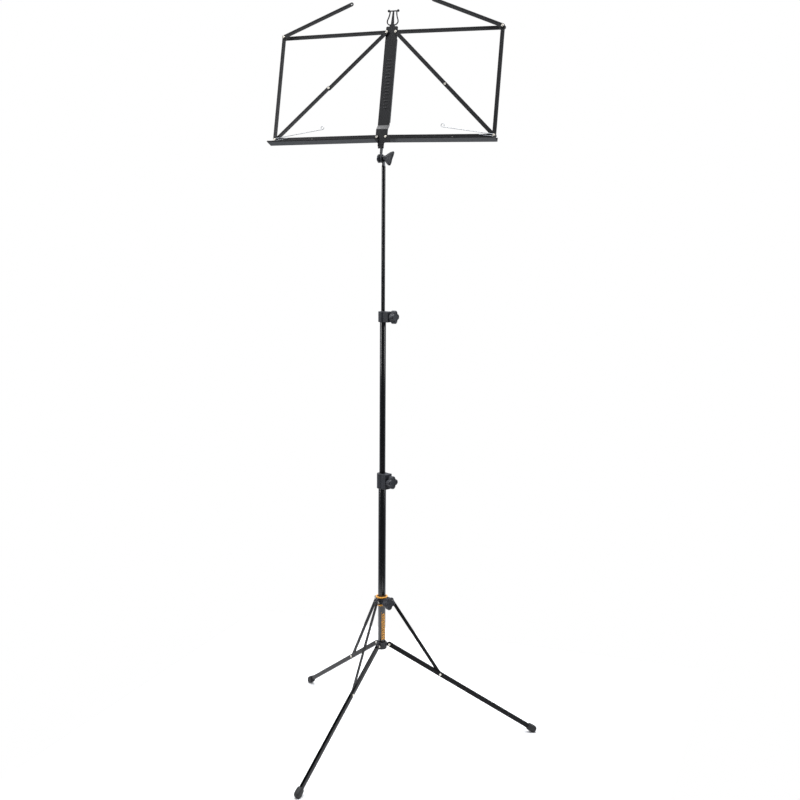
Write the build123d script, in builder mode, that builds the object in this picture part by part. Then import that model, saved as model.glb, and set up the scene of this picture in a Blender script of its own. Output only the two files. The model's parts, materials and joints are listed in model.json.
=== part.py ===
"""Folding music stand: tripod base, three-section mast and folding open-frame desk.

Millimetres. +Z is up, the origin is on the mast axis at floor level, and the desk faces -Y.
The stand is built as it stands in use: legs open, mast at full height, desk open and leaning back.
"""
import os
from math import atan2, cos, degrees, hypot, radians, sin

from build123d import *

# ---------------------------------------------------------------- driving dimensions
# Tripod
LEG_AZIMUTHS = (22.2, 142.2, 262.2)   # directions of the three legs
LEG_LENGTH = 364.0                    # hub pivot to the middle of the foot cap
LEG_SLOPE = 31.8                      # leg below the horizontal
LEG_PIVOT_RADIUS = 16.2               # hub pivots from the mast axis
LEG_DEPTH = 9.3                       # channel section: depth, width, wall
LEG_WIDTH = 6.8
LEG_WALL = 1.1
LEG_OPEN = 22.0                       # channel is open on top from this far inside the strut rivet
LEG_EAR_OPEN = 9.0                    # and round the hub's ear, from the pivot
STRUT_JOINT = 128.9                   # strut rivet along the leg from the hub pivot
STRUT_WIDTH = 6.8
STRUT_THICKNESS = 2.4
FOOT_LENGTH = 20.0
FOOT_DEPTH = 15.2
FOOT_WIDTH = 13.0
FOOT_ROUND = 3.6
FOOT_CENTRE_HEIGHT = 8.9
FOOT_COVER = 3.0                      # rubber past the end of the leg

# Mast
BASE_TUBE_RADIUS = 8.0
BASE_TUBE_LENGTH = 372.5
MIDDLE_TUBE_RADIUS = 6.35
MIDDLE_TUBE_LENGTH = 373.0
TUBE_WALL = 1.0
ROD_RADIUS = 4.0
ROD_LENGTH = 346.6                    # lower end to the tilt axis
MIDDLE_ENGAGEMENT = 35.3              # middle tube inside the base tube, fully drawn out
ROD_ENGAGEMENT = 36.0                 # rod inside the middle tube, fully drawn out
BUSH_LENGTH = 18.0
BUSH_FLOOR = 1.5

# Hub
HUB_RADIUS = 11.0
HUB_BELOW_PIVOT = 9.6
HUB_ABOVE_PIVOT = 6.4
HUB_FLOOR = 3.0
EAR_HEIGHT = 6.6

# Slide collar
COLLAR_BOTTOM = 288.4
COLLAR_HEIGHT = 19.5
COLLAR_RADIUS = 11.4
COLLAR_RING_RADIUS = 12.85
COLLAR_RING_HEIGHT = 3.2
COLLAR_SPIGOT_WALL = 1.5
LUG_RADIUS = 21.0                     # strut pins from the mast axis
LUG_HEIGHT = 8.4
LUG_CHEEK = 2.0
COLLAR_BOSS_REACH = 19.0
COLLAR_BOSS_RADIUS = 6.4
COLLAR_KNOB_AZIMUTH = -37.8

# Clamps
LOWER_CLAMP_HEIGHT = 32.0
LOWER_CLAMP_LIP = 6.0
LOWER_CLAMP_WALL = 3.3
LOWER_CLAMP_REACH = 18.4
LOWER_CLAMP_AZIMUTH = -22.0
UPPER_CLAMP_HEIGHT = 21.8
UPPER_CLAMP_LIP = 5.0
UPPER_CLAMP_WALL = 3.3
UPPER_CLAMP_REACH = 17.0
UPPER_CLAMP_AZIMUTH = -9.0
CLAMP_ROUND = 1.2

# Knobs and their screws
KNOB_LOBES = 4
KNOB_CORE_RADIUS = 9.4
KNOB_LOBE_RADIUS = 6.0
KNOB_LOBE_CIRCLE = 7.6
KNOB_GRIP = 10.0
KNOB_NECK = 4.0
KNOB_NECK_RADIUS = 6.2
SCREW_RADIUS = 3.0
SCREW_IN_KNOB = 9.0

# Tilt head
TAB_THICKNESS = 3.2
TAB_WIDTH = 11.6
TAB_SHOULDER = 12.0                   # flattening starts this far below the tilt axis
TAB_BLEND = 5.0
WASHER_RADIUS = 8.5
INNER_WASHER = 4.0
OUTER_WASHER = 4.0
BLADE_THICKNESS = 1.6
BLADE_WIDTH = 11.0
BOLT_RADIUS = 2.5
BOLT_HEAD_RADIUS = 5.4
BOLT_HEAD_HEIGHT = 2.0
WING_HUB_RADIUS = 6.3
WING_LENGTH = 17.0
WING_SPAN = 32.4
WING_THICKNESS = 4.6
WING_ANGLE = 30.0                     # wings lean this far towards the back
WING_BOLT_DEPTH = 9.0

# Desk
DESK_TILT = 13.0                      # leans back from the vertical
TILT_DROP = 42.0                      # tilt axis below the lower desk pivots
BAR_LENGTH = 225.0                    # pivot to corner
DESK_HEIGHT = 217.0                   # lower pivots to upper pivots
PIVOT_SPACING = 19.1                  # between the left and right pivots
BAR_DROOP = 0.6                       # bars hang this much below the horizontal
BAR_WIDTH = 8.0
BAR_THICKNESS = 1.6
BAR_GROOVE_WIDTH = 3.6
BAR_GROOVE_DEPTH = 0.4
ARM_LENGTH = 158.6
ARM_ANGLE = 22.0                      # above the upper bar
LEDGE_DEPTH = 21.5
LEDGE_DROP = 12.9                     # bottom of the ledge below the bar's centre line
LEDGE_RISE = 8.0                      # shelf rises this much towards its front edge
LEDGE_SHEET = 1.0
LEDGE_LIP = 2.2
LEDGE_BEND = 2.0
LEDGE_INNER_END = -3.5                # ledge ends along the bar, from the lower pivot
LEDGE_OUTER_END = 232.6
LEDGE_NOTCH = 16.0                    # right shelf starts this far further out
LEDGE_NOTCH_SLANT = 7.0
LEDGE_RIVET_ALONG = 141.0
LEDGE_RIVET_DROP = 2.6
SPINE_WIDTH = 25.0
SPINE_SHEET = 1.5
SPINE_FLANGE = 4.6
TONGUE_WIDTH = 13.0
TONGUE_DROP = 22.5
STEP_TOP = 26.0                       # the sheet steps forward between these heights
STEP_BOTTOM = 16.5
SHOULDER = 12.5                       # plate above the upper pivots
LYRE_HEIGHT = 33.0
LYRE_STROKE = 2.2
WIRE_RADIUS = 0.6
WIRE_LENGTH = 108.0                   # long strand, corner rivet to ring
WIRE_RING_RADIUS = 3.3
WIRE_RING_TURN = 300.0
WIRE_ANGLE = 9.0
WIRE_TAIL = 30.0

BLADE_FOOT_WIDTH = 12.0               # foot of the blade, folded flat behind the tongue
BLADE_FOOT_TOP = 4.0
BLADE_RIVET_X = 3.7
BLADE_RIVET_Y = -14.0

# Rivets
RIVET_RADIUS = 1.5
RIVET_HEAD_RADIUS = 2.6
RIVET_HEAD = 1.1
LEDGE_RIVET_RADIUS = 1.0
LEDGE_RIVET_HEAD_RADIUS = 1.7
LEDGE_RIVET_HEAD = 0.7

# Clearances
GAP = 0.1                             # between faces that slide past each other
RUNNING = 0.05                        # radial, pins and shafts that turn
SLIDING = 0.1                         # radial, tubes that slide

# ---------------------------------------------------------------- heights and layers
LEG_PIVOT_HEIGHT = FOOT_CENTRE_HEIGHT + LEG_LENGTH * sin(radians(LEG_SLOPE))
BASE_TUBE_BOTTOM = LEG_PIVOT_HEIGHT - HUB_BELOW_PIVOT + HUB_FLOOR
BASE_TUBE_TOP = BASE_TUBE_BOTTOM + BASE_TUBE_LENGTH
LOWER_CLAMP_TOP = BASE_TUBE_TOP + LOWER_CLAMP_LIP
LOWER_CLAMP_BOTTOM = LOWER_CLAMP_TOP - LOWER_CLAMP_HEIGHT
MIDDLE_TUBE_BOTTOM = BASE_TUBE_TOP - MIDDLE_ENGAGEMENT
MIDDLE_TUBE_TOP = MIDDLE_TUBE_BOTTOM + MIDDLE_TUBE_LENGTH
UPPER_CLAMP_TOP = MIDDLE_TUBE_TOP + UPPER_CLAMP_LIP
UPPER_CLAMP_BOTTOM = UPPER_CLAMP_TOP - UPPER_CLAMP_HEIGHT
ROD_BOTTOM = MIDDLE_TUBE_TOP - ROD_ENGAGEMENT
TILT_AXIS_HEIGHT = ROD_BOTTOM + ROD_LENGTH
COLLAR_TOP = COLLAR_BOTTOM + COLLAR_HEIGHT
COLLAR_MIDDLE = COLLAR_BOTTOM + COLLAR_HEIGHT / 2
LEG_INNER_WIDTH = LEG_WIDTH - 2 * LEG_WALL
LUG_GAP = STRUT_THICKNESS + 2 * GAP
LEG_JOINT_RADIUS = LEG_PIVOT_RADIUS + STRUT_JOINT * cos(radians(LEG_SLOPE))
LEG_JOINT_HEIGHT = LEG_PIVOT_HEIGHT - STRUT_JOINT * sin(radians(LEG_SLOPE))
STRUT_LENGTH = hypot(LEG_JOINT_RADIUS - LUG_RADIUS, COLLAR_MIDDLE - LEG_JOINT_HEIGHT)

# Desk layers, counted forward from the front of the spine plate: each bar has its own
UPPER_BAR_LAYER = GAP
UPPER_DIAGONAL_LAYER = UPPER_BAR_LAYER + BAR_THICKNESS + GAP
PIVOT_HEAD_LAYER = UPPER_DIAGONAL_LAYER + BAR_THICKNESS + GAP
LOWER_DIAGONAL_LAYER = PIVOT_HEAD_LAYER + RIVET_HEAD + 2 * GAP
LOWER_BAR_LAYER = LOWER_DIAGONAL_LAYER + BAR_THICKNESS + GAP
SIDE_BAR_LAYER = LOWER_BAR_LAYER + BAR_THICKNESS + GAP
FRONT_LAYER = SIDE_BAR_LAYER + BAR_THICKNESS + GAP      # arms and page wires
SPINE_STEP = LOWER_BAR_LAYER - GAP                      # the spine's foot steps forward
LEDGE_LAYER = LOWER_BAR_LAYER + BAR_THICKNESS

# Stack on the tilt bolt, from the rod's tab towards -X
INNER_WASHER_X = -TAB_THICKNESS / 2 - INNER_WASHER
BLADE_X = INNER_WASHER_X - GAP - BLADE_THICKNESS / 2
OUTER_WASHER_X = BLADE_X - BLADE_THICKNESS / 2 - GAP - OUTER_WASHER
BOLT_HEAD_X = OUTER_WASHER_X - BOLT_HEAD_HEIGHT


def radial_plane(azimuth, radius=0.0, height=0.0):
    """Upright plane through the mast axis: local x outward, local y up."""
    turn = radians(azimuth)
    origin = (radius * cos(turn), radius * sin(turn), height)
    return Plane(origin=origin, x_dir=(cos(turn), sin(turn), 0), z_dir=(sin(turn), -cos(turn), 0))


def facing_plane(azimuth, radius, height):
    """Plane at a radius, facing straight out: local x around the mast, local y up."""
    turn = radians(azimuth)
    origin = (radius * cos(turn), radius * sin(turn), height)
    return Plane(origin=origin, x_dir=(-sin(turn), cos(turn), 0), z_dir=(cos(turn), sin(turn), 0))


def sloping_plane(azimuth):
    """Plane of one leg's side: origin at its hub pivot, local x down the leg."""
    turn = radians(azimuth)
    fall = radians(LEG_SLOPE)
    origin = (LEG_PIVOT_RADIUS * cos(turn), LEG_PIVOT_RADIUS * sin(turn), LEG_PIVOT_HEIGHT)
    along = (cos(fall) * cos(turn), cos(fall) * sin(turn), -sin(fall))
    return Plane(origin=origin, x_dir=along, z_dir=(sin(turn), -cos(turn), 0))


def plane_at(plane, place):
    """The same plane, moved so that its origin is at a place given in its own terms."""
    return Plane(origin=plane.from_local_coords(place), x_dir=plane.x_dir, z_dir=plane.z_dir)


def group(pieces):
    """Separate solids that share one node."""
    with BuildPart() as made:
        for piece in pieces:
            add(piece)
    return made.part


def rivet(plane, radius, length, head_radius, head):
    """Rivet with a head at each end; the plane is the inner face of its back head."""
    with BuildPart() as made:
        with BuildSketch(plane):
            Circle(radius)
        extrude(amount=length)
        with BuildSketch(plane.offset(length)):
            Circle(head_radius)
        extrude(amount=head)
        with BuildSketch(plane):
            Circle(head_radius)
        extrude(amount=-head)
        outer_rims = made.edges().filter_by(GeomType.CIRCLE).sort_by(Axis((0, 0, 0), plane.z_dir))
        fillet([outer_rims[0], outer_rims[-1]], radius=head * 0.6)
    return made.part


# ---------------------------------------------------------------- base tube and hub
with BuildPart() as base_tube:
    with BuildSketch(Plane.XY.offset(BASE_TUBE_BOTTOM)):
        Circle(BASE_TUBE_RADIUS)
        Circle(BASE_TUBE_RADIUS - TUBE_WALL, mode=Mode.SUBTRACT)
    extrude(amount=BASE_TUBE_LENGTH)
    clamp_middle = LOWER_CLAMP_BOTTOM + LOWER_CLAMP_HEIGHT / 2
    with BuildSketch(facing_plane(LOWER_CLAMP_AZIMUTH, 0, clamp_middle)):
        Circle(SCREW_RADIUS + GAP)
    extrude(amount=BASE_TUBE_RADIUS + TUBE_WALL, mode=Mode.SUBTRACT)

with BuildPart() as leg_hub:
    with BuildSketch(Plane.XY.offset(LEG_PIVOT_HEIGHT - HUB_BELOW_PIVOT)):
        Circle(HUB_RADIUS)
    extrude(amount=HUB_BELOW_PIVOT + HUB_ABOVE_PIVOT)
    fillet(leg_hub.edges().group_by(Axis.Z)[0], radius=2.5)
    fillet(leg_hub.edges().group_by(Axis.Z)[-1], radius=0.8)
    for azimuth in LEG_AZIMUTHS:
        with BuildSketch(radial_plane(azimuth, 0, LEG_PIVOT_HEIGHT)):
            Rectangle(LEG_PIVOT_RADIUS, EAR_HEIGHT, align=(Align.MIN, Align.CENTER))
            with Locations((LEG_PIVOT_RADIUS, 0)):
                Circle(EAR_HEIGHT / 2)
        extrude(amount=LEG_INNER_WIDTH / 2 - GAP, both=True)
        with BuildSketch(radial_plane(azimuth, LEG_PIVOT_RADIUS, LEG_PIVOT_HEIGHT)):
            Circle(RIVET_RADIUS)
        extrude(amount=LEG_WIDTH, both=True, mode=Mode.SUBTRACT)
    with BuildSketch(Plane.XY.offset(BASE_TUBE_BOTTOM)):
        Circle(BASE_TUBE_RADIUS)
    extrude(amount=HUB_BELOW_PIVOT + HUB_ABOVE_PIVOT, mode=Mode.SUBTRACT)

hub_grip = LEG_WIDTH / 2 + GAP
hub_rivets = group(
    rivet(
        radial_plane(azimuth, LEG_PIVOT_RADIUS, LEG_PIVOT_HEIGHT).offset(-hub_grip),
        RIVET_RADIUS, 2 * hub_grip, RIVET_HEAD_RADIUS, RIVET_HEAD,
    )
    for azimuth in LEG_AZIMUTHS
)

# ---------------------------------------------------------------- legs, feet and struts
legs = {}
for number, azimuth in enumerate(LEG_AZIMUTHS, start=1):
    side = sloping_plane(azimuth)
    leg_end = LEG_LENGTH + FOOT_LENGTH / 2 - FOOT_COVER

    with BuildPart() as leg:
        with BuildSketch(side):
            Rectangle(leg_end, LEG_DEPTH, align=(Align.MIN, Align.CENTER))
            Circle(LEG_DEPTH / 2)
        extrude(amount=LEG_WIDTH / 2, both=True)
        long_edges = leg.edges().filter_by(Axis((0, 0, 0), side.x_dir))
        fillet(long_edges.sort_by(Axis((0, 0, 0), side.y_dir))[:2], 1.0)
        with BuildSketch(side):
            with Locations((-LEG_DEPTH, -LEG_DEPTH / 2 + LEG_WALL)):
                Rectangle(leg_end + 2 * LEG_DEPTH, LEG_DEPTH - 2 * LEG_WALL, align=(Align.MIN, Align.MIN))
            with Locations((STRUT_JOINT - LEG_OPEN, -LEG_DEPTH / 2 + LEG_WALL)):
                Rectangle(leg_end, LEG_DEPTH, align=(Align.MIN, Align.MIN))
            with Locations((-LEG_DEPTH, 0)):
                Rectangle(LEG_DEPTH + LEG_EAR_OPEN, LEG_DEPTH, align=(Align.MIN, Align.CENTER))
        extrude(amount=LEG_INNER_WIDTH / 2, both=True, mode=Mode.SUBTRACT)
        with BuildSketch(side):
            Circle(RIVET_RADIUS + RUNNING)
            with Locations((STRUT_JOINT, 0)):
                Circle(RIVET_RADIUS)
        extrude(amount=LEG_WIDTH, both=True, mode=Mode.SUBTRACT)

    with BuildPart() as foot:
        with BuildSketch(side):
            with Locations((LEG_LENGTH, 0)):
                RectangleRounded(FOOT_LENGTH, FOOT_DEPTH, FOOT_ROUND)
        extrude(amount=FOOT_WIDTH / 2, both=True)
        fillet(foot.faces().sort_by(Axis((0, 0, 0), side.z_dir))[-1].edges(), radius=1.8)
        fillet(foot.faces().sort_by(Axis((0, 0, 0), side.z_dir))[0].edges(), radius=1.8)
        with BuildSketch(side):
            Rectangle(leg_end, LEG_DEPTH, align=(Align.MIN, Align.CENTER))
        extrude(amount=LEG_WIDTH / 2, both=True, mode=Mode.SUBTRACT)
        split(bisect_by=Plane.XY, keep=Keep.TOP)

    # the leg's rivet carries a spacer sleeve on each side of the strut
    joint_plane = plane_at(side, (STRUT_JOINT, 0))
    spacer = (LEG_INNER_WIDTH - STRUT_THICKNESS) / 2 - GAP
    leg_joint = rivet(
        joint_plane.offset(-LEG_WIDTH / 2), RIVET_RADIUS, LEG_WIDTH, RIVET_HEAD_RADIUS, RIVET_HEAD,
    )
    with BuildPart() as leg_rivet:
        add(leg_joint)
        with BuildSketch(joint_plane.offset(STRUT_THICKNESS / 2 + GAP)):
            Circle(RIVET_HEAD_RADIUS)
        extrude(amount=spacer)
        with BuildSketch(joint_plane.offset(-STRUT_THICKNESS / 2 - GAP)):
            Circle(RIVET_HEAD_RADIUS)
        extrude(amount=-spacer)

    upright = radial_plane(azimuth)
    rise = degrees(atan2(COLLAR_MIDDLE - LEG_JOINT_HEIGHT, LUG_RADIUS - LEG_JOINT_RADIUS))
    middle = ((LEG_JOINT_RADIUS + LUG_RADIUS) / 2, (LEG_JOINT_HEIGHT + COLLAR_MIDDLE) / 2)
    with BuildPart() as strut:
        with BuildSketch(upright):
            with Locations(middle):
                SlotCenterToCenter(STRUT_LENGTH, STRUT_WIDTH, rotation=rise)
            with Locations((LEG_JOINT_RADIUS, LEG_JOINT_HEIGHT), (LUG_RADIUS, COLLAR_MIDDLE)):
                Circle(RIVET_RADIUS + RUNNING, mode=Mode.SUBTRACT)
        extrude(amount=STRUT_THICKNESS / 2, both=True)

    legs[f"leg_{number}"] = leg.part
    legs[f"foot_{number}"] = foot.part
    legs[f"leg_rivet_{number}"] = leg_rivet.part
    legs[f"strut_{number}"] = strut.part

# ---------------------------------------------------------------- slide collar
COLLAR_BORE = BASE_TUBE_RADIUS + SLIDING
SPIGOT_RADIUS = COLLAR_BORE + COLLAR_SPIGOT_WALL

with BuildPart() as slide_collar:
    with BuildSketch(Plane.XY.offset(COLLAR_BOTTOM)):
        Circle(SPIGOT_RADIUS)
    extrude(amount=COLLAR_HEIGHT)
    with BuildSketch(Plane.XY.offset(COLLAR_BOTTOM + COLLAR_RING_HEIGHT)):
        Circle(COLLAR_RADIUS)
    extrude(amount=COLLAR_HEIGHT - 2 * COLLAR_RING_HEIGHT)
    with BuildSketch(facing_plane(COLLAR_KNOB_AZIMUTH, 0, COLLAR_MIDDLE)):
        Circle(COLLAR_BOSS_RADIUS)
    extrude(amount=COLLAR_BOSS_REACH)
    fillet(slide_collar.faces().sort_by(SortBy.DISTANCE)[-1].edges(), radius=0.8)
    for azimuth in LEG_AZIMUTHS:
        lug_plane = radial_plane(azimuth, 0, COLLAR_MIDDLE)
        with BuildSketch(lug_plane):
            Rectangle(LUG_RADIUS, LUG_HEIGHT, align=(Align.MIN, Align.CENTER))
            with Locations((LUG_RADIUS, 0)):
                Circle(LUG_HEIGHT / 2)
        extrude(amount=LUG_GAP / 2 + LUG_CHEEK, both=True)
        with BuildSketch(lug_plane):
            with Locations((COLLAR_RADIUS + 1.6, 0)):
                Rectangle(LUG_RADIUS, 3 * LUG_HEIGHT, align=(Align.MIN, Align.CENTER))
        extrude(amount=LUG_GAP / 2, both=True, mode=Mode.SUBTRACT)
        with BuildSketch(lug_plane):
            with Locations((LUG_RADIUS, 0)):
                Circle(RIVET_RADIUS)
        extrude(amount=LUG_RADIUS, both=True, mode=Mode.SUBTRACT)
    with BuildSketch(Plane.XY.offset(COLLAR_BOTTOM)):
        Circle(COLLAR_BORE)
    extrude(amount=COLLAR_HEIGHT, mode=Mode.SUBTRACT)
    with BuildSketch(facing_plane(COLLAR_KNOB_AZIMUTH, 0, COLLAR_MIDDLE)):
        Circle(SCREW_RADIUS + RUNNING)
    extrude(amount=COLLAR_BOSS_REACH, mode=Mode.SUBTRACT)


def round_ring(plane, outer_radius, inner_radius, thickness, rim):
    """Ring with rounded outer rims, resting on the plane."""
    with BuildPart() as made:
        with BuildSketch(plane):
            Circle(outer_radius)
            Circle(inner_radius, mode=Mode.SUBTRACT)
        extrude(amount=thickness)
        fillet(made.edges().sort_by(SortBy.LENGTH)[-2:], radius=rim)
    return made.part


collar_rings = group(
    round_ring(Plane.XY.offset(bottom), COLLAR_RING_RADIUS, SPIGOT_RADIUS, COLLAR_RING_HEIGHT, 1.2)
    for bottom in (COLLAR_BOTTOM, COLLAR_TOP - COLLAR_RING_HEIGHT)
)

with BuildPart() as collar_pins:
    for azimuth in LEG_AZIMUTHS:
        pin_plane = radial_plane(azimuth, LUG_RADIUS, COLLAR_MIDDLE)
        for direction in (-1, 1):
            with BuildSketch(pin_plane.offset(direction * LUG_GAP / 2)):
                Circle(RIVET_RADIUS)
            extrude(amount=direction * LUG_CHEEK)
            with BuildSketch(pin_plane.offset(direction * (LUG_GAP / 2 + LUG_CHEEK))):
                Circle(RIVET_HEAD_RADIUS)
            extrude(amount=direction * RIVET_HEAD)


# ---------------------------------------------------------------- knobs, screws and clamps
def lobed_knob(azimuth, reach, height):
    """Moulded knob: round neck, lobed grip with rounded rims, blind hole for its screw."""
    base = facing_plane(azimuth, reach, height)
    with BuildPart() as made:
        with BuildSketch(base.offset(KNOB_NECK)):
            Circle(KNOB_CORE_RADIUS)
            with PolarLocations(KNOB_LOBE_CIRCLE, KNOB_LOBES):
                Circle(KNOB_LOBE_RADIUS)
        extrude(amount=KNOB_GRIP)
        hollows = made.edges().filter_by(Axis((0, 0, 0), base.z_dir))
        fillet(hollows, radius=2.2)
        rims = made.edges().group_by(Axis((0, 0, 0), base.z_dir))
        fillet(rims[-1], radius=1.6)
        with BuildSketch(base):
            Circle(KNOB_NECK_RADIUS)
        extrude(amount=KNOB_NECK)
        with BuildSketch(base):
            Circle(SCREW_RADIUS)
        extrude(amount=SCREW_IN_KNOB, mode=Mode.SUBTRACT)
    return made.part


def clamp_screw(azimuth, tip, reach, height):
    """Steel screw from the knob to just short of the tube that it clamps."""
    with BuildPart() as made:
        with BuildSketch(facing_plane(azimuth, tip, height)):
            Circle(SCREW_RADIUS)
        extrude(amount=reach + SCREW_IN_KNOB - tip)
        chamfer(made.edges().sort_by(SortBy.DISTANCE)[:1], length=0.6)
    return made.part


def tube_clamp(azimuth, bottom, height, lip, tube_radius, inner_radius, wall, reach):
    """Moulded clamp on a tube's top end, with a flat boss for the knob's screw."""
    outer = tube_radius + wall
    turn = radians(azimuth)
    base = Plane(origin=(0, 0, bottom), x_dir=(cos(turn), sin(turn), 0), z_dir=(0, 0, 1))
    with BuildPart() as made:
        with BuildSketch(base):
            Circle(outer)
            Rectangle(reach, 2 * (outer - 1.5), align=(Align.MIN, Align.CENTER))
        extrude(amount=height)
        upright_edges = made.edges().filter_by(Axis.Z).sort_by(Axis((0, 0, 0), base.x_dir))[-2:]
        fillet(upright_edges, radius=1.6)
        fillet(made.faces().sort_by(Axis.Z)[-1].edges(), radius=CLAMP_ROUND)
        fillet(made.faces().sort_by(Axis.Z)[0].edges(), radius=CLAMP_ROUND)
        with BuildSketch(base):
            Circle(tube_radius)
        extrude(amount=height - lip, mode=Mode.SUBTRACT)
        with BuildSketch(base):
            Circle(inner_radius + SLIDING)
        extrude(amount=height, mode=Mode.SUBTRACT)
        with BuildSketch(facing_plane(azimuth, 0, bottom + height / 2)):
            Circle(SCREW_RADIUS + RUNNING)
        extrude(amount=reach, mode=Mode.SUBTRACT)
    return made.part


LOWER_KNOB_HEIGHT = LOWER_CLAMP_BOTTOM + LOWER_CLAMP_HEIGHT / 2
UPPER_KNOB_HEIGHT = UPPER_CLAMP_BOTTOM + UPPER_CLAMP_HEIGHT / 2
lower_clamp = tube_clamp(
    LOWER_CLAMP_AZIMUTH, LOWER_CLAMP_BOTTOM, LOWER_CLAMP_HEIGHT, LOWER_CLAMP_LIP,
    BASE_TUBE_RADIUS, MIDDLE_TUBE_RADIUS, LOWER_CLAMP_WALL, LOWER_CLAMP_REACH,
)
upper_clamp = tube_clamp(
    UPPER_CLAMP_AZIMUTH, UPPER_CLAMP_BOTTOM, UPPER_CLAMP_HEIGHT, UPPER_CLAMP_LIP,
    MIDDLE_TUBE_RADIUS, ROD_RADIUS, UPPER_CLAMP_WALL, UPPER_CLAMP_REACH,
)
knobs = {}
for place, azimuth, reach, height, pressed in (
    ("collar", COLLAR_KNOB_AZIMUTH, COLLAR_BOSS_REACH, COLLAR_MIDDLE, BASE_TUBE_RADIUS),
    ("lower", LOWER_CLAMP_AZIMUTH, LOWER_CLAMP_REACH, LOWER_KNOB_HEIGHT, MIDDLE_TUBE_RADIUS),
    ("upper", UPPER_CLAMP_AZIMUTH, UPPER_CLAMP_REACH, UPPER_KNOB_HEIGHT, ROD_RADIUS),
):
    knobs[f"{place}_knob"] = lobed_knob(azimuth, reach + GAP, height)
    knobs[f"{place}_screw"] = clamp_screw(azimuth, pressed + 2 * GAP, reach + GAP, height)


# ---------------------------------------------------------------- middle tube, rod and bushes
def guide_bush(end_height, tube_radius, bore_radius):
    """Cup-shaped bush on a tube's lower end: it slides in the bore and the tube turns in it."""
    with BuildPart() as made:
        with BuildSketch(Plane.XY.offset(end_height - GAP - BUSH_FLOOR)):
            Circle(bore_radius - RUNNING)
        extrude(amount=BUSH_FLOOR + BUSH_LENGTH)
        with BuildSketch(Plane.XY.offset(end_height - GAP)):
            Circle(tube_radius + RUNNING)
        extrude(amount=BUSH_FLOOR + BUSH_LENGTH, mode=Mode.SUBTRACT)
    return made.part


middle_bush = guide_bush(MIDDLE_TUBE_BOTTOM, MIDDLE_TUBE_RADIUS, BASE_TUBE_RADIUS - TUBE_WALL)
rod_bush = guide_bush(ROD_BOTTOM, ROD_RADIUS, MIDDLE_TUBE_RADIUS - TUBE_WALL)

with BuildPart() as middle_tube:
    with BuildSketch(Plane.XY.offset(MIDDLE_TUBE_BOTTOM)):
        Circle(MIDDLE_TUBE_RADIUS)
        Circle(MIDDLE_TUBE_RADIUS - TUBE_WALL, mode=Mode.SUBTRACT)
    extrude(amount=MIDDLE_TUBE_LENGTH)
    with BuildSketch(facing_plane(UPPER_CLAMP_AZIMUTH, 0, UPPER_KNOB_HEIGHT)):
        Circle(SCREW_RADIUS + GAP)
    extrude(amount=MIDDLE_TUBE_RADIUS + TUBE_WALL, mode=Mode.SUBTRACT)

with BuildPart() as upper_rod:
    shoulder = TILT_AXIS_HEIGHT - TAB_SHOULDER
    with BuildSketch(Plane.XY.offset(ROD_BOTTOM)):
        Circle(ROD_RADIUS)
    extrude(amount=shoulder - TAB_BLEND - ROD_BOTTOM)
    with BuildSketch(Plane.XY.offset(shoulder - TAB_BLEND)):
        Circle(ROD_RADIUS)
    with BuildSketch(Plane.XY.offset(shoulder)):
        Ellipse(TAB_THICKNESS / 2, TAB_WIDTH / 2)
    loft()
    with BuildSketch(Plane.YZ):
        with Locations((0, shoulder)):
            Rectangle(TAB_WIDTH, TAB_SHOULDER, align=(Align.CENTER, Align.MIN))
        with Locations((0, TILT_AXIS_HEIGHT)):
            Circle(TAB_WIDTH / 2)
    extrude(amount=TAB_THICKNESS / 2, both=True)
    with BuildSketch(Plane.YZ):
        with Locations((0, TILT_AXIS_HEIGHT)):
            Circle(BOLT_RADIUS)
    extrude(amount=TAB_THICKNESS, both=True, mode=Mode.SUBTRACT)


# ---------------------------------------------------------------- tilt head
def tilt_plane(x):
    """Plane across the tilt axis at x: local x to the back, local y up."""
    return Plane(origin=(x, 0, TILT_AXIS_HEIGHT), x_dir=(0, 1, 0), z_dir=(1, 0, 0))


with BuildPart() as tilt_bolt:
    with BuildSketch(tilt_plane(BOLT_HEAD_X)):
        RegularPolygon(BOLT_HEAD_RADIUS, 6)
    extrude(amount=BOLT_HEAD_HEIGHT)
    with BuildSketch(tilt_plane(BOLT_HEAD_X)):
        Circle(BOLT_RADIUS)
    extrude(amount=TAB_THICKNESS / 2 + WING_BOLT_DEPTH - BOLT_HEAD_X)

tilt_washers = group(
    round_ring(tilt_plane(start), WASHER_RADIUS, BOLT_RADIUS, thickness, 0.6)
    for start, thickness in ((INNER_WASHER_X, INNER_WASHER), (OUTER_WASHER_X, OUTER_WASHER))
)

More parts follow.
